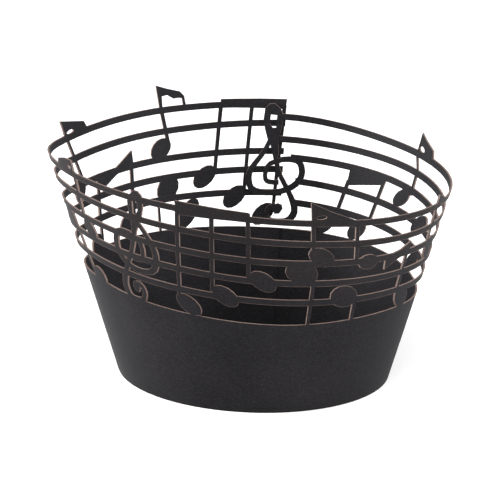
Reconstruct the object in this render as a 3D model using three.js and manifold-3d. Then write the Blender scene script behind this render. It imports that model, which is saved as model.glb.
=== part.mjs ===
// Cupcake wrapper: one strip of card, cut through as a music staff and rolled into an open cone.
// The drawing is laid out flat first, along = millimetres round the strip and up = millimetres high,
// then the flat card is rolled, with its last stretch lapping inside its first.

import * as THREE from 'three';
import { mergeVertices } from 'three/addons/utils/BufferGeometryUtils.js';
import Module from 'manifold-3d';

const wasm = await Module();
wasm.setup();

// Card and cone, in millimetres
const CARD = 0.35;            // thickness of the card
const LAP_GAP = 0.12;         // clearance between the two layers where the ends lap
const RIM_RADIUS = 40;        // middle of the card at RIM_HEIGHT
const RIM_HEIGHT = 41;
const BASE_RADIUS = 27.95;    // mean radius of the edge that stands on the table
const BASE_OVAL = 0.03;       // share by which that edge is longer one way and shorter the other
const OVAL_TURN = 130;        // direction of its long way, degrees
const DRAWING_RADIUS = 37.5;  // radius at which one degree of the drawing has its true length

// Strip, in degrees round the cone from +X, against the clock seen from above. The strip is longer
// than one turn, so 440 lies behind 80.
const BAND_START = 66.05;
const STAFF_START = 81;
const BAND_END = 440;
const COLUMN = 7.5;             // degrees between the facets of the roll

// Staff: height of each line's middle every 40 degrees from 80 to 440, as the strip is drawn,
// and the place where each line runs into the clef that ends the strip
const STATION_FIRST = 80;
const STATION_STEP = 40;
const LINE_WIDTH = 1.3;
const LINES = [
  [46.3, 45.8, 44.9, 46.6, 44.6, 41.8, 39.7, 39.6, 41.2, 43.8],
  [42.4, 41.4, 40.5, 42.5, 40.2, 37.4, 35.4, 35.5, 37.6, 39.1],
  [36.5, 35.7, 35.1, 37.6, 35.7, 33.2, 31.7, 31.6, 34.0, 35.4],
  [32.7, 31.8, 31.3, 33.3, 31.5, 28.9, 27.5, 27.0, 28.9, 30.6],
  [27.8, 27.4, 27.1, 28.9, 27.0, 24.7, 23.6, 22.5, 24.5, 26.1],
];
const LINE_ENDS = [442.5, 442.5, 438.5, 436.4, 437.5];
const BAND_TOP = [20.4, 20.9, 21.7, 23.8, 21.8, 19.8, 19.5, 18.2, 19.9, 20.5];

// Notes
const STEM_WIDTH = 0.8;
const HEAD_LENGTH = 6.2;
const HEAD_WIDTH = 3.6;

const RAD = Math.PI / 180;
const along = (degrees) => degrees * RAD * DRAWING_RADIUS;
const place = ([degrees, up]) => new THREE.Vector2(along(degrees), up);

// Flat pieces of the drawing, each an extruded outline of card thickness

function solidOf(geometry) {
  const bare = geometry.index ? geometry.toNonIndexed() : geometry.clone();
  bare.deleteAttribute('normal');
  bare.deleteAttribute('uv');
  const merged = mergeVertices(bare, 1e-5);
  return new wasm.Manifold(new wasm.Mesh({
    numProp: 3,
    vertProperties: new Float32Array(merged.attributes.position.array),
    triVerts: new Uint32Array(merged.index.array),
  }));
}

// The outline goes to the extrusion against the clock, which then turns the holes the other way
function sheet(points, holes = []) {
  const shape = new THREE.Shape(THREE.ShapeUtils.isClockWise(points) ? [...points].reverse() : points);
  shape.holes = holes.map((hole) => new THREE.Path(hole));
  return solidOf(new THREE.ExtrudeGeometry(shape, { depth: CARD, bevelEnabled: false, steps: 1 }));
}

function heightAt(stations, degrees) {
  const s = (degrees - STATION_FIRST) / STATION_STEP;
  const last = stations.length - 1;
  const i = Math.min(Math.max(Math.floor(s), 0), last - 1);
  const before = stations[Math.max(i - 1, 0)];
  const after = stations[Math.min(i + 2, last)];
  const curve = new THREE.SplineCurve([
    new THREE.Vector2(0, before), new THREE.Vector2(1, stations[i]),
    new THREE.Vector2(2, stations[i + 1]), new THREE.Vector2(3, after),
  ]);
  return curve.getPoint((1 + THREE.MathUtils.clamp(s - i, 0, 1)) / 3).y;
}

// Places along the strip from first to last, one in the middle of each column
function columnsBetween(first, last) {
  const list = [first];
  for (let d = BAND_START + COLUMN / 2; d < last - 1; d += COLUMN) {
    if (d > first + 1) list.push(d);
  }
  return [...list, last];
}

// A ribbon of card between two heights that change along the strip
function ribbon(first, last, low, high) {
  const places = columnsBetween(first, last);
  const top = places.map((d) => place([d, high(d)]));
  const bottom = places.map((d) => place([d, low(d)])).reverse();
  return sheet([...top, ...bottom]);
}

function staffLine(stations, i) {
  const middle = (d) => heightAt(stations, d);
  const half = LINE_WIDTH / 2;
  return ribbon(STAFF_START, LINE_ENDS[i], (d) => middle(d) - half, (d) => middle(d) + half);
}

// A stroke of a pen along points given as [degrees, up], with one width or a width at each point.
// It is joined from short links, so that it may cross itself.
function stroke(points, width, sides = points.length - 1) {
  const path = points.map(place);
  const curve = new THREE.SplineCurve(path);
  const line = sides > path.length - 1 ? curve.getPoints(sides) : path;
  const widths = new THREE.SplineCurve([width].flat().map((w, i) => new THREE.Vector2(i, w)));
  const left = [];
  const right = [];
  line.forEach((p, i) => {
    const a = line[Math.max(i - 1, 0)];
    const b = line[Math.min(i + 1, line.length - 1)];
    const across = new THREE.Vector2(a.y - b.y, b.x - a.x).normalize();
    const half = (Array.isArray(width) ? widths.getPoint(i / (line.length - 1)).y : width) / 2;
    left.push(p.clone().addScaledVector(across, half));
    right.push(p.clone().addScaledVector(across, -half));
  });
  const links = [];
  for (let i = 0; i + 1 < line.length; i += 1) links.push(sheet([left[i], left[i + 1], right[i + 1], right[i]]));
  return join(links);
}

function oval([degrees, up], length, width, slant, sides = 14) {
  const centre = place([degrees, up]);
  const points = [];
  for (let i = 0; i < sides; i += 1) {
    const a = (i / sides) * 2 * Math.PI;
    const p = new THREE.Vector2(Math.cos(a) * length / 2, Math.sin(a) * width / 2);
    points.push(p.rotateAround(new THREE.Vector2(), slant * RAD).add(centre));
  }
  return points;
}

const head = (at, slant, length = HEAD_LENGTH, width = HEAD_WIDTH) => sheet(oval(at, length, width, slant));
const stem = (from, to, width = STEM_WIDTH) => stroke([from, to], width);
const plate = (points, holes = []) => sheet(points.map(place), holes);

function join(solids) {
  let list = solids;
  while (list.length > 1) {
    const next = [];
    for (let i = 0; i < list.length; i += 2) next.push(i + 1 < list.length ? list[i].add(list[i + 1]) : list[i]);
    list = next;
  }
  return list[0];
}

// Treble clef, drawn round the crossing of its strokes. Its points are stretched by wide and, above
// and below the crossing, by above and below. Lean moves them along by so many degrees for each
// millimetre above the crossing, and neck carries the body below the crossing [degrees, down].
function clef([degrees, up], { wide, above, below, neck, lean }) {
  const at = (points) => points.map(([d, v]) => {
    const share = THREE.MathUtils.clamp(-v / 2, 0, 1);
    const rise = (v > 0 ? v * above : v * below) - neck[1] * share;
    return [degrees + d * wide + neck[0] * share + rise * lean, up + rise];
  });
  const loop = plate(
    at([[-1.1, 3.7], [-0.1, 5], [1.6, 6], [2.8, 5.9], [3.6, 5.1], [3.3, 2.8], [2.5, 1.2], [1.2, -0.6],
      [-0.3, -1.4], [-1.8, -2], [-1.3, -0.2], [-1.4, 1.4]]),
    [at([[0.4, 3.8], [1.9, 3.9], [1.6, 2.1], [0.6, 1.3], [-0.1, 1.4]]).map(place)]);
  const tail = stroke(at([[0.2, -0.6], [-1.1, -2.3], [-3.2, -5.9], [-6.7, -9.6], [-9.2, -12.6], [-9.6, -14.4],
    [-8.4, -15.8], [-6, -16.1], [-3.5, -15.9], [-2.2, -14.6], [-2.6, -13.3], [-4, -12.6]]),
    [1, 1, 1, 1.1, 1.5, 1.7, 1.4, 1.2, 1.2, 1.1, 1.1, 1], 26);
  const belly = stroke(at([[0.4, -0.2], [2, -1.7], [4.2, -4.8], [4.4, -7], [3, -9.3], [-0.5, -10], [-5, -9.5],
    [-8, -7.9], [-8.9, -5.6], [-7.5, -3.2], [-5.2, -2.6], [-2.5, -2.8]]),
    [1, 1, 1.2, 1.4, 1.4, 1.2, 1.2, 1.4, 1.4, 1.3, 1.2, 1.1], 28);
  const curl = stroke(at([[-2.7, -2.9], [-0.2, -3.7], [0.5, -5.3], [0.1, -7.1], [-1.2, -7.7], [-3.5, -7.7]]),
    1, 10);
  const ball = plate(at([[-6.3, -13.4], [-5.8, -12.5], [-4.6, -12.2], [-3.6, -12.6], [-3.6, -13.6],
    [-4.4, -14.5], [-5.7, -14.4]]));
  return join([loop, tail, belly, curl, ball]);
}

// Three notes under one beam
function beamGroup(beam, stems, heads, slant) {
  return join([plate(beam), ...stems.map(([from, to]) => stem(from, to)), ...heads.map((at) => head(at, slant))]);
}

function drawing() {
  const staff = LINES.map(staffLine);
  const band = ribbon(BAND_START, BAND_END, () => 0, (d) => heightAt(BAND_TOP, Math.max(d, STATION_FIRST)));

  // From the start, at the back of the cone, round by the left
  const firstBeam = beamGroup(
    [[80.9, 47.4], [100.7, 47.3], [100.8, 45.5], [81.1, 45.3]],
    [[[81.5, 46.0], [83.8, 24.1]], [[91.3, 46.1], [94.0, 27.8]], [[100.7, 46.1], [103.7, 32.2]]],
    [[87.4, 23.2], [97.4, 26.8], [107.4, 31.2]], -38);
  const back = [
    head([114.6, 23.8], -46, 7.9, 3.7), head([121.0, 29.5], -38, 6.3, 4.4), stem([125.3, 26.7], [126.2, 20.3], 0.6),
    plate([[120.6, 51.1], [117.1, 50.2], [113.1, 49.4], [111.9, 48.4], [111.6, 46.2], [112.5, 46.2], [112.7, 48.0],
      [114.0, 48.1], [115.4, 48.0], [117.4, 48.9], [119.1, 48.7], [119.3, 46.2], [120.3, 46.2]]),
    stem([119.8, 46.2], [118.7, 38.8]), head([121.7, 37.8], -38, 5.6, 3.7),
    plate([[132.6, 38.6], [132.8, 35.5], [140.2, 34.5], [147.3, 32.7], [150.9, 33.3], [150.4, 35.1], [141.5, 35.4],
      [136.5, 37.1]]),
    stem([133.8, 35.1], [136.5, 24.9], 0.9), head([140.3, 23.8], -34, 6.5, 3.7),
    stem([150.4, 34.1], [156.4, 22.5], 0.9), head([161.0, 22.5], -20, 6.6, 3.8),
    plate([[163.5, 48.7], [157.3, 47.8], [150.5, 46.9], [149.4, 45.2], [162.8, 45.1]],
      [oval([159.1, 45.9], 3.2, 0.8, 0, 10)]),
    stem([162.5, 46.3], [158.7, 35.5], 0.9), head([162.7, 34.3], -28, 6.7, 3.8),
  ];

  // Left side and front
  const front = [
    plate([[194.2, 38.1], [201.3, 37.3], [202.0, 33.8], [193.2, 33.6]]), stem([201.4, 36.4], [205.4, 24.8], 0.9),
    head([209.0, 24.1], 0, 5.6, 4.6),
    plate([[203.3, 46.7], [205.5, 48.6], [209.5, 49.3], [213.7, 49.4], [213.2, 46.1]],
      [oval([211.6, 47.7], 1, 0.8, 0, 10)]),
    stem([213.2, 47.0], [211.2, 37.4]), head([213.0, 34.9], -50, 4.6, 3.4),
    clef([235, 40], { wide: 1.08, above: 1.1, below: 1.1, neck: [0, 0], lean: 0 }),
    beamGroup([[248.6, 45.7], [268.2, 44.0], [268.1, 42.1], [248.6, 42.8]],
      [[[249.0, 44.0], [245.8, 23.7]], [[258.4, 43.9], [257.1, 26.8]], [[268.0, 43.9], [268.2, 30.0]]],
      [[248.9, 23.4], [261.1, 26.0], [272.5, 29.4]], -36),
    head([283.9, 31.0], -24, 6.9, 4.7), stem([287.8, 29.3], [287.5, 19.4]),
    plate([[284.5, 45.9], [290.2, 43.8], [300.0, 40.8], [299.6, 39.7], [285.3, 41.4]],
      [oval([287.9, 42.6], 1.9, 0.8, 0, 10)]),
    stem([285.7, 41.9], [286.7, 34.8]), head([289.4, 34.1], -32, 6.0, 3.5),
    stem([299.1, 40.3], [301.0, 31.8]), head([305.4, 31.8], -10, 4.8, 3.2),
    head([298.8, 25.0], -18, 6.6, 4.6), stem([303.1, 24.0], [303.3, 19.0], 0.9),
    plate([[312.1, 32.1], [312.6, 29.3], [318.2, 30.9], [323.1, 31.5], [322.8, 34.0], [318.4, 32.8]]),
    stem([322.2, 32.4], [322.2, 22.9], 0.9), head([326.5, 21.4], -34, 6.7, 4.1),
    plate([[333.5, 41.9], [337.5, 41.0], [342.1, 39.8], [342.1, 39.0], [333.8, 39.0]]),
    stem([334.1, 40.3], [335.0, 31.5]), head([338.7, 30.1], -24, 5.9, 4.7),
  ];

  // Right side and back again, ending with the second clef
  const close = [
    plate([[391.1, 45.0], [388.5, 43.9], [383.0, 42.4], [380.8, 40.1], [391.2, 40.2]],
      [oval([389.0, 41.8], 2, 1.1, 20, 10)]),
    stem([391.4, 41.0], [388.0, 37.1], 0.5), stem([388.5, 37.5], [388.3, 32.3]), head([392.7, 31.2], -30, 5.5, 3.4),
    head([376.8, 27.8], -22, 7.7, 3.9), head([373.4, 20.9], -28, 7.1, 3.8),
    plate([[417.2, 35.1], [417.5, 30.9], [403.4, 32.4], [402.0, 34.6]]),
    stem([417.1, 31.9], [419.9, 24.2], 0.9), stem([402.5, 34.1], [405.3, 24.6], 0.9),
    head([409.9, 22.3], -34, 5.6, 3.6), head([424.0, 22.5], -34, 6.1, 3.9),
    clef([444.4, 39.9], { wide: 1.33, above: 1.1, below: 0.97, neck: [-0.9, 2.4], lean: -0.33 }),
  ];
  return join([join(staff), band, firstBeam, ...back, ...front, ...close]);
}

// Rolling: a point of the flat card goes to its place on the cone

function radiusAt(degrees, up) {
  const base = BASE_RADIUS * (1 + BASE_OVAL * Math.cos(2 * (degrees - OVAL_TURN) * RAD));
  return base + (RIM_RADIUS - base) * (up / RIM_HEIGHT);
}

const flare = Math.atan2(RIM_RADIUS - BASE_RADIUS, RIM_HEIGHT);

function roll(x, up, depth) {
  const degrees = x / (RAD * DRAWING_RADIUS);
  const turns = (degrees - BAND_START) / 360;
  const layer = (0.5 - turns) * (CARD / Math.cos(flare) + LAP_GAP);
  const radius = radiusAt(degrees, up) + layer + (depth - CARD / 2) / Math.cos(flare);
  return [radius * Math.cos(degrees * RAD), radius * Math.sin(degrees * RAD), up];
}

// Corners of a crease that lie inside the edge from a to b, in order
function between(corners, a, b) {
  const span = Math.hypot(b[1] - a[1], b[2] - a[2]);
  const reach = (p) => ((p[1] - a[1]) * (b[1] - a[1]) + (p[2] - a[2]) * (b[2] - a[2])) / span;
  const aside = (p) => ((p[1] - a[1]) * (b[2] - a[2]) - (p[2] - a[2]) * (b[1] - a[1])) / span;
  return corners
    .filter((p) => p !== a && p !== b && Math.abs(aside(p)) < 2e-3 && reach(p) > 0 && reach(p) < span)
    .sort((p, q) => reach(p) - reach(q));
}

// The flat card is creased in columns, so that each facet of the roll has its own edges.
// A crease keeps one list of its corners, and the faces on both sides take all of them.
function rolled(flat) {
  const { min, max } = flat.boundingBox();
  const edges = [min[0] - 1];
  for (let d = BAND_START + COLUMN; along(d) < max[0]; d += COLUMN) edges.push(along(d));
  edges.push(max[0] + 1);
  const creases = edges.map(() => []);
  const faces = [];
  for (let i = 0; i + 1 < edges.length; i += 1) {
    const width = edges[i + 1] - edges[i];
    const slab = new THREE.BoxGeometry(width, 200, 4 * CARD).translate(edges[i] + width / 2, 40, 0);
    const mesh = flat.intersect(solidOf(slab)).getMesh();
    const corners = [];
    for (let k = 0; k < mesh.vertProperties.length; k += mesh.numProp) {
      const point = Array.from(mesh.vertProperties.slice(k, k + 3));
      const crease = [i, i + 1].find((e) => Math.abs(point[0] - edges[e]) < 1e-4);
      const known = creases[crease]?.find((p) => Math.hypot(p[1] - point[1], p[2] - point[2]) < 2e-3);
      corners.push({ crease, point: known ?? point });
      if (crease !== undefined && !known) creases[crease].push(point);
    }
    for (let t = 0; t < mesh.triVerts.length; t += 3) {
      const face = [0, 1, 2].map((k) => corners[mesh.triVerts[t + k]]);
      const across = face.every((c) => c.crease !== undefined && c.crease === face[0].crease);
      if (!across) faces.push(face);
    }
  }
  const positions = [];
  for (const face of faces) {
    const k = [0, 1, 2].find((n) => face[n].crease !== undefined && face[n].crease === face[(n + 1) % 3].crease);
    const first = k ?? 0;
    const [a, b, apex] = [0, 1, 2].map((n) => face[(first + n) % 3].point);
    const steps = [a, ...(k === undefined ? [] : between(creases[face[k].crease], a, b)), b];
    for (let n = 0; n + 1 < steps.length; n += 1) {
      positions.push(...[steps[n], steps[n + 1], apex].flatMap((p) => roll(...p)));
    }
  }
  const geometry = new THREE.BufferGeometry();
  geometry.setAttribute('position', new THREE.Float32BufferAttribute(positions, 3));
  const merged = mergeVertices(geometry, 1e-4);
  merged.computeBoundingBox();
  const middle = merged.boundingBox.getCenter(new THREE.Vector3());
  merged.translate(-middle.x, -middle.y, 0);
  merged.computeVertexNormals();
  return merged;
}

const card = new THREE.MeshStandardMaterial({ color: 0x37363a, roughness: 0.85, metalness: 0 });
const wrapper = new THREE.Mesh(rolled(drawing()), card);
wrapper.name = 'wrapper';

const model = new THREE.Group();
model.add(wrapper);

export default model;
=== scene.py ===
# %% [markdown]
# # A cupcake wrapper of black card
#
# The real object is one strip of thin card. A laser cut a wavy music staff with notes through its
# upper half, and the strip was then rolled into an open cone, its ends lapped at the back.
# The shape comes from the part's own solid, which this script loads as its frame. What is left to
# do here is the look: the dull black faces, the brown edges where the laser burned through, the
# light, and the camera of the photograph.

import math

import bpy
from mathutils import Matrix, Vector


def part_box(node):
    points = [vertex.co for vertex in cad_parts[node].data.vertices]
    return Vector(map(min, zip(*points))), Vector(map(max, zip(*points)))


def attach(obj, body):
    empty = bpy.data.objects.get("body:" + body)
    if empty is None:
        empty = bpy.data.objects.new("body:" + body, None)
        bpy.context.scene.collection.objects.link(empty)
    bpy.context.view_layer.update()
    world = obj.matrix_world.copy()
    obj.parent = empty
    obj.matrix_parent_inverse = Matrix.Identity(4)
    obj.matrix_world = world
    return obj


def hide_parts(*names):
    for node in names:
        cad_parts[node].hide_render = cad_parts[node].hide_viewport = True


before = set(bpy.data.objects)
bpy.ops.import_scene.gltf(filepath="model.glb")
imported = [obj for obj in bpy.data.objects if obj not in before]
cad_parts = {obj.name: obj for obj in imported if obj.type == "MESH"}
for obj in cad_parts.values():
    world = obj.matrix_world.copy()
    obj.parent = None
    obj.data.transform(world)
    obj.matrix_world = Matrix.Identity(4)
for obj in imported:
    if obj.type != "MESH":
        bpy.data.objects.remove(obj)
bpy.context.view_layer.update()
low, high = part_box("wrapper")
print("wrapper, millimetres:", [round(1000 * v, 1) for v in high - low])

# %% [markdown]
# ## The card, copied from the solid
#
# The solid is made of loose triangles, which shade as flat facets. A roll of card is smooth, so the
# card is copied and its corners are merged, which makes one closed sheet of it. Its smooth shading
# comes in a later step. Modelling the staff again by hand would give nothing better, because each
# line and note already has its measured place in the solid.
#
# Operators act on whatever is selected, and the frame comes in with its nodes selected. So a small
# helper starts from nothing selected and one active object. In Blender by hand that is a click in
# empty space, then a click on the object.

# %% Copy the card and merge its corners
MERGE_DISTANCE = 2e-6


def pick(piece):
    for other in bpy.context.selected_objects:
        other.select_set(False)
    piece.select_set(True)
    bpy.context.view_layer.objects.active = piece


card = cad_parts["wrapper"].copy()
card.data = card.data.copy()
card.name = card.data.name = "card"
bpy.context.collection.objects.link(card)
pick(card)
bpy.ops.object.mode_set(mode="EDIT")
bpy.ops.mesh.select_all(action="SELECT")
bpy.ops.mesh.remove_doubles(threshold=MERGE_DISTANCE)
bpy.ops.object.mode_set(mode="OBJECT")
print("corners after merging:", len(card.data.vertices))

# %% [markdown]
# ## Which faces are card, and which are cut
#
# A face of the sheet points away from the middle of the cone or towards it. A cut face points along
# the sheet, so it is nearly square to that direction. One product of two arrows tells them apart,
# which is the same as picking by eye in edit mode, but never misses a small face.

# %% Sort the faces by where they point
CUT_LIMIT = 0.7
middle = Vector((0.5 * (low.x + high.x), 0.5 * (low.y + high.y), 0))


def outward(face):
    """Near 1 on the outer side of the card, near -1 on the inner side, near 0 on a cut."""
    arm = face.center - middle
    arm.z = 0
    return face.normal.dot(arm.normalized())


sides = {"outer": [], "inner": [], "cut": []}
for face in card.data.polygons:
    facing = outward(face)
    side = "outer" if facing > CUT_LIMIT else "inner" if facing < -CUT_LIMIT else "cut"
    sides[side].append(face.index)
print("faces:", {side: len(faces) for side, faces in sides.items()})

# %% [markdown]
# ## The singed margin
#
# Beside each cut the laser's heat browned a hair's breadth of the black face. It shows in the photo
# as a thin tan line round every note. Here it is an inset: the faces of the outer side are selected
# and inset by less than a tenth of a millimetre, which leaves a narrow ring of faces along every
# outline. The ring gets its own finish below. The inner side shows no tan line in the photo, so it
# has no ring.
#
# An inset is quick but not exact. The outer side has slivers narrower than the ring, and some of
# them turn over and lie flat against their neighbours. Some corners also leave the solid's surface,
# by 0.08 mm at most. A line painted from a distance map would leave the mesh as it is.
#
# New faces come last in the list, so everything past the old count belongs to the ring.

# %% Inset the outer side of the card
MARGIN = 0.00008
outer_faces = set(sides["outer"])
old_count = len(card.data.polygons)
for element in (*card.data.vertices, *card.data.edges):
    element.select = False
for face in card.data.polygons:
    face.select = face.index in outer_faces
bpy.ops.object.mode_set(mode="EDIT")
bpy.ops.mesh.select_mode(type="FACE")
bpy.ops.mesh.inset(thickness=MARGIN, depth=0, use_boundary=True, use_even_offset=False)
bpy.ops.object.mode_set(mode="OBJECT")
print("margin faces:", len(card.data.polygons) - old_count, "of", len(card.data.polygons))

# %% [markdown]
# ## Fibre, the effect that the finishes share
#
# Card is felted fibre. Close up it shows a faint mottle, a grain that catches the light, and a few
# pale flecks where a fibre took less dye. Every finish of the card has them, so they are built
# once, as a node group that puts out two masks and a height. Each finish then gives them its own
# tones and its own strength. The grain is squeezed along the height, as fibres lie along the sheet.

# %% Make the fibre group and its sockets
fibre = bpy.data.node_groups.new("card fibre", "ShaderNodeTree")
GROUP_INPUTS = {"Fibre scale": 1400.0, "Cloud scale": 90.0, "Fleck scale": 3200.0}
fibre.interface.new_socket(name="Coordinates", in_out="INPUT", socket_type="NodeSocketVector")
for name, value in GROUP_INPUTS.items():
    made = fibre.interface.new_socket(name=name, in_out="INPUT", socket_type="NodeSocketFloat")
    made.default_value = value
for name in ("Mottle", "Height", "Flecks"):
    fibre.interface.new_socket(name=name, in_out="OUTPUT", socket_type="NodeSocketFloat")
print("fibre sockets:", [item.name for item in fibre.interface.items_tree])

# %% Wire the grain, the clouds and the flecks
SQUEEZE = (1.0, 1.0, 2.2)
GRAIN_SHARE, CLOUD_SHARE = 0.65, 0.35
FLECK_FROM, FLECK_TO = 0.6, 0.72

ins = fibre.nodes.new("NodeGroupInput")
outs = fibre.nodes.new("NodeGroupOutput")
squeezed = fibre.nodes.new("ShaderNodeMapping")
squeezed.inputs["Scale"].default_value = SQUEEZE
grain = fibre.nodes.new("ShaderNodeTexNoise")
grain.inputs["Detail"].default_value = 4.0
grain.inputs["Roughness"].default_value = 0.62
clouds = fibre.nodes.new("ShaderNodeTexNoise")
clouds.inputs["Detail"].default_value = 3.0
flecks = fibre.nodes.new("ShaderNodeTexNoise")
flecks.inputs["Detail"].default_value = 1.0

soft = fibre.nodes.new("ShaderNodeMath")
soft.operation = "MULTIPLY"
soft.inputs[1].default_value = CLOUD_SHARE
mottle = fibre.nodes.new("ShaderNodeMath")
mottle.operation = "MULTIPLY_ADD"
mottle.inputs[1].default_value = GRAIN_SHARE
sparse = fibre.nodes.new("ShaderNodeMapRange")
sparse.inputs["From Min"].default_value = FLECK_FROM
sparse.inputs["From Max"].default_value = FLECK_TO

for plug_out, plug_in in (
    (ins.outputs["Coordinates"], squeezed.inputs["Vector"]),
    (ins.outputs["Coordinates"], clouds.inputs["Vector"]),
    (ins.outputs["Fibre scale"], grain.inputs["Scale"]),
    (ins.outputs["Cloud scale"], clouds.inputs["Scale"]),
    (ins.outputs["Fleck scale"], flecks.inputs["Scale"]),
    (squeezed.outputs["Vector"], grain.inputs["Vector"]),
    (squeezed.outputs["Vector"], flecks.inputs["Vector"]),
    (clouds.outputs["Fac"], soft.inputs[0]),
    (grain.outputs["Fac"], mottle.inputs[0]),
    (soft.outputs["Value"], mottle.inputs[2]),
    (flecks.outputs["Fac"], sparse.inputs["Value"]),
    (mottle.outputs["Value"], outs.inputs["Mottle"]),
    (grain.outputs["Fac"], outs.inputs["Height"]),
    (sparse.outputs["Result"], outs.inputs["Flecks"]),
):
    fibre.links.new(plug_out, plug_in)
print("links in the fibre group:", len(fibre.links))

# %% [markdown]
# ## Four finishes of one card
#
# The face is dyed black and dull, with a weak sheen at a slant. The singed margin is the same card,
# browned. The cut itself is bare burned fibre, lighter and quite matt. The outer side has a finish
# of its own with painted light on it: towards the top it turns lighter and a little brown with
# height, painted in for the brighter upper wall. A black surface lives from small differences, so
# the dark and light tones of each finish stay close together.

# %% Two ways to lay one colour over another
# Painted light: the heights where the outer side starts and stops turning lighter, and how far it
# turns.
TOP_LIGHT_FROM, TOP_LIGHT_TO, TOP_LIGHT_STRENGTH = 0.022, 0.034, 0.12


def cover(tree, mask, under, colour):
    """A colour plug that shows `under`, and the fixed colour where the mask is 1."""
    blend = tree.nodes.new("ShaderNodeMix")
    blend.data_type = "RGBA"
    below, above = (plug for plug in blend.inputs if plug.type == "RGBA")
    above.default_value = (*colour, 1)
    tree.links.new(mask, blend.inputs["Factor"])
    tree.links.new(under, below)
    return next(plug for plug in blend.outputs if plug.type == "RGBA")


def paint_top_light(tree, where, under, colour):
    """A colour plug with painted light: lighter and browner with the height above the table."""
    split = tree.nodes.new("ShaderNodeSeparateXYZ")
    top_light_ramp = tree.nodes.new("ShaderNodeMapRange")
    top_light_ramp.inputs["From Min"].default_value = TOP_LIGHT_FROM
    top_light_ramp.inputs["From Max"].default_value = TOP_LIGHT_TO
    top_light_ramp.inputs["To Max"].default_value = TOP_LIGHT_STRENGTH
    tree.links.new(where.outputs["Object"], split.inputs["Vector"])
    tree.links.new(split.outputs["Z"], top_light_ramp.inputs["Value"])
    return cover(tree, top_light_ramp.outputs["Result"], under, colour)


print("smoke begins at", 1000 * TOP_LIGHT_FROM, "mm and is full at", 1000 * TOP_LIGHT_TO, "mm")

# %% A finish of the card
FLECK_STRENGTH = 0.5
DARK_AT, LIGHT_AT = 0.36, 0.66
ROUGHNESS_SPREAD = 0.06
FIBRE_HEIGHT = 0.00004
SHEEN_TINT = (0.98, 0.955, 1.0, 1)


def finish(name, dark, light, fleck, roughness, bump, specular, painted_top_light=None):
    material = bpy.data.materials.new(name)
    material.use_nodes = True
    tree = material.node_tree
    shader = tree.nodes["Principled BSDF"]
    shader.inputs["Specular IOR Level"].default_value = specular
    shader.inputs["Specular Tint"].default_value = SHEEN_TINT
    where = tree.nodes.new("ShaderNodeTexCoord")
    fibres = tree.nodes.new("ShaderNodeGroup")
    fibres.node_tree = fibre
    tones = tree.nodes.new("ShaderNodeValToRGB")
    for element, place, tone in zip(tones.color_ramp.elements, (DARK_AT, LIGHT_AT), (dark, light)):
        element.position = place
        element.color = (*tone, 1)
    few = tree.nodes.new("ShaderNodeMath")
    few.operation = "MULTIPLY"
    few.inputs[1].default_value = FLECK_STRENGTH
    rough = tree.nodes.new("ShaderNodeMapRange")
    rough.inputs["To Min"].default_value = roughness - ROUGHNESS_SPREAD
    rough.inputs["To Max"].default_value = roughness + ROUGHNESS_SPREAD
    relief = tree.nodes.new("ShaderNodeBump")
    relief.inputs["Strength"].default_value = bump
    relief.inputs["Distance"].default_value = FIBRE_HEIGHT
    tree.links.new(where.outputs["Object"], fibres.inputs["Coordinates"])
    tree.links.new(fibres.outputs["Mottle"], tones.inputs["Fac"])
    tree.links.new(fibres.outputs["Mottle"], rough.inputs["Value"])
    tree.links.new(fibres.outputs["Height"], relief.inputs["Height"])
    tree.links.new(fibres.outputs["Flecks"], few.inputs[0])
    colour = cover(tree, few.outputs["Value"], tones.outputs["Color"], fleck)
    if painted_top_light:
        colour = paint_top_light(tree, where, colour, painted_top_light)
    tree.links.new(colour, shader.inputs["Base Color"])
    tree.links.new(rough.outputs["Result"], shader.inputs["Roughness"])
    tree.links.new(relief.outputs["Normal"], shader.inputs["Normal"])
    return material


print("fibres stand", 1000 * FIBRE_HEIGHT, "mm high at most")

# %% Build the four finishes
DYED = {
    "dark": (0.0066, 0.0062, 0.0070),
    "light": (0.0142, 0.0134, 0.0150),
    "fleck": (0.034, 0.032, 0.035),
    "roughness": 0.6,
    "bump": 0.7,
    "specular": 0.06,
}
black_card = finish("black card", **DYED)
# Painted light: the outer side turns towards this lighter brown near the top, for the brighter
# upper wall.
painted_top_light_card = finish("card with painted top light", **DYED, painted_top_light=(0.036, 0.027, 0.024))
singed_card = finish(
    "singed margin",
    dark=(0.050, 0.034, 0.030),
    light=(0.084, 0.060, 0.053),
    fleck=(0.11, 0.085, 0.076),
    roughness=0.75,
    bump=0.3,
    specular=0.2,
)
burned_cut = finish(
    "burned cut",
    dark=(0.136, 0.095, 0.081),
    light=(0.211, 0.155, 0.134),
    fleck=(0.25, 0.19, 0.17),
    roughness=0.85,
    bump=0.3,
    specular=0.15,
)
print("finishes:", [made.name for made in (black_card, burned_cut, singed_card, painted_top_light_card)])

# %% Lay the finishes on the card
INNER, CUT, RING, OUTER = range(4)
cut_faces = set(sides["cut"])
card.data.materials.clear()
for material in (black_card, burned_cut, singed_card, painted_top_light_card):
    card.data.materials.append(material)
# The outer side gets the finish with the painted top light.
for face in card.data.polygons:
    if face.index >= old_count:
        face.material_index = RING
    elif face.index in cut_faces:
        face.material_index = CUT
    else:
        face.material_index = OUTER if face.index in outer_faces else INNER
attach(card, "root")
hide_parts("wrapper")
laid = [face.material_index for face in card.data.polygons]
print("faces by finish:", [laid.count(place) for place in (INNER, CUT, RING, OUTER)])

# %% [markdown]
# ## Smooth shading that follows the cone
#
# Shade Smooth averages the faces round each corner. Here many faces are long slivers, so that
# average wobbles and draws faint upright streaks on the band. But the card's true direction is
# known everywhere: it points straight away from the cone's axis and a little down, by the flare of
# the wall. So each corner of a face gets that direction as its own normal, and a cut keeps its
# flat one.
# The axis stands a little off the middle of the box, because the wavy rim reaches higher, and so
# further out, on one side.
#
# Inside the lap the free end of the strip stands a little straighter than the cone, as card does at
# its ends, so it catches the light a bit differently and the seam shows. Its normals are turned.

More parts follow.
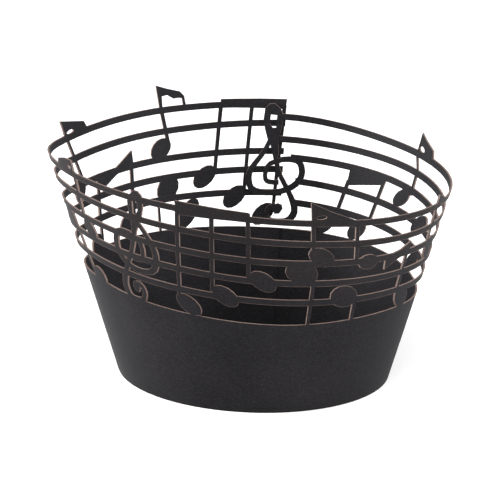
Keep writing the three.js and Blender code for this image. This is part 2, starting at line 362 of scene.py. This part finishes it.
# %% Give the card the cone's own normals
FLARE = math.radians(16.4)
LAP_FROM, LAP_TO = math.radians(66), math.radians(80)
LAP_TURN = Matrix.Rotation(math.radians(14), 3, "Z")
cone_foot = Vector((0.00092, -0.00057, 0))


def wall_normal(face, corner):
    """The direction of the cone's wall at a corner, out or in, as the face looks."""
    side = 1 if outward(face) > 0 else -1
    arm = Vector((corner.x - cone_foot.x, corner.y - cone_foot.y, 0)).normalized()
    angle = math.atan2(face.center.y - cone_foot.y, face.center.x - cone_foot.x)
    if side < 0 and LAP_FROM < angle < LAP_TO:
        arm.rotate(LAP_TURN)
    return side * Vector((arm.x * math.cos(FLARE), arm.y * math.cos(FLARE), -math.sin(FLARE)))


pick(card)
bpy.ops.object.shade_smooth()
normals = [Vector()] * len(card.data.loops)
for face in card.data.polygons:
    for place, vertex in zip(face.loop_indices, face.vertices):
        if face.material_index == CUT:
            normals[place] = face.normal.copy()
        else:
            normals[place] = wall_normal(face, card.data.vertices[vertex].co)
card.data.normals_split_custom_set(normals)
print("corners with their own normal:", len(normals))

# %% [markdown]
# ## Floor and background
#
# The photograph is a cut-out on pure white. A pale floor stands for the table. Seen by the camera
# it is lifted to white with a little light of its own. That light is only for camera rays and for
# rays that a gloss or a glass sends on, so it adds no plain light to the object. The soft shadow
# beside the card stays visible on it.

# %% Pick out the rays that show the background


def background_rays(tree):
    """A plug that is 1 for camera, glossy and transmission rays and 0 for all others."""
    path = tree.nodes.new("ShaderNodeLightPath")
    chosen = path.outputs["Is Camera Ray"]
    for name in ("Is Glossy Ray", "Is Transmission Ray"):
        either = tree.nodes.new("ShaderNodeMath")
        either.operation = "MAXIMUM"
        tree.links.new(chosen, either.inputs[0])
        tree.links.new(path.outputs[name], either.inputs[1])
        chosen = either.outputs["Value"]
    return chosen


print("the background shows to camera, glossy and transmission rays")

# %% Lay the floor
FLOOR_SIZE = 8
FLOOR_COLOUR = (0.82, 0.82, 0.82, 1)
FLOOR_LIFT = 0.35
bpy.ops.object.select_all(action="DESELECT")
bpy.ops.mesh.primitive_plane_add(size=FLOOR_SIZE, location=(0, 0, 0))
floor = bpy.context.active_object
floor.name = "floor"
table = bpy.data.materials.new("table")
table.use_nodes = True
board = table.node_tree.nodes["Principled BSDF"]
board.inputs["Base Color"].default_value = FLOOR_COLOUR
board.inputs["Roughness"].default_value = 0.9
board.inputs["Specular IOR Level"].default_value = 0.1
board.inputs["Emission Color"].default_value = (1, 1, 1, 1)
lift = table.node_tree.nodes.new("ShaderNodeMath")
lift.operation = "MULTIPLY"
lift.inputs[1].default_value = FLOOR_LIFT
table.node_tree.links.new(background_rays(table.node_tree), lift.inputs[0])
table.node_tree.links.new(lift.outputs["Value"], board.inputs["Emission Strength"])
floor.data.materials.append(table)
print("floor is", floor.dimensions.x, "m wide")

# %% [markdown]
# ## Light
#
# Product photographs of black things use large soft lamps, because a black surface only shows what
# it mirrors. One broad lamp hangs above and in front, where it reaches down the inner wall at the
# back. A stronger one stands at the left, where the photograph has its brightest edge, a weaker one
# at the right, and the white world fills in.

# %% Place the lamps
lit_place = Vector((0, 0, 0.022))


def lamp(name, place, size, watts):
    data = bpy.data.lights.new(name, "AREA")
    data.shape = "DISK"
    data.size = size
    data.energy = watts
    made = bpy.data.objects.new(name, data)
    bpy.context.collection.objects.link(made)
    made.location = place
    made.rotation_euler = (lit_place - Vector(place)).to_track_quat("-Z", "Y").to_euler()


lamp("lamp front", (-0.15, -0.75, 0.7), 0.6, 3.5)
lamp("lamp left", (-0.85, -0.05, 0.3), 0.5, 18)
lamp("lamp right", (0.85, -0.3, 0.3), 0.5, 12)

# %% Fill in with a white world
FILL_LEVEL, BACKGROUND_LEVEL = 0.45, 1.0
world = bpy.data.worlds.new("studio")
bpy.context.scene.world = world
world.use_nodes = True
sky = world.node_tree.nodes["Background"]
sky.inputs["Color"].default_value = (1, 1, 1, 1)
level = world.node_tree.nodes.new("ShaderNodeMapRange")
level.inputs["To Min"].default_value = FILL_LEVEL
level.inputs["To Max"].default_value = BACKGROUND_LEVEL
world.node_tree.links.new(background_rays(world.node_tree), level.inputs["Value"])
world.node_tree.links.new(level.outputs["Result"], sky.inputs["Strength"])
print("the world lights the card at", FILL_LEVEL, "and shows at", BACKGROUND_LEVEL)

# %% [markdown]
# ## Camera
#
# The place of the camera was worked out from the outline of the cone: it stands half a metre away,
# 19 degrees above the table, with a long lens, and the photograph is turned by about half a degree.
# A camera looks along its own -Z, so it is turned to its target first and then rolled about that
# line.

# %% Aim the camera
DISTANCE = 0.5
HEIGHT_ANGLE = math.radians(18.88)
ROLL = math.radians(0.63)
LENS = 173.6
target = cone_foot + Vector((-0.00086, 0, 0.02503))
eye = cone_foot + DISTANCE * Vector((0, -math.cos(HEIGHT_ANGLE), math.sin(HEIGHT_ANGLE)))
lens = bpy.data.cameras.new("camera")
lens.sensor_width = 36
lens.lens = LENS
lens.clip_start = 0.01
camera = bpy.data.objects.new("camera", lens)
bpy.context.collection.objects.link(camera)
turn = (target - eye).to_track_quat("-Z", "Y").to_matrix().to_4x4()
camera.matrix_world = Matrix.Translation(eye) @ turn @ Matrix.Rotation(ROLL, 4, "Z")
bpy.context.scene.camera = camera
bpy.context.scene.view_settings.view_transform = "Standard"
print("camera at, millimetres:", [round(1000 * v) for v in eye])
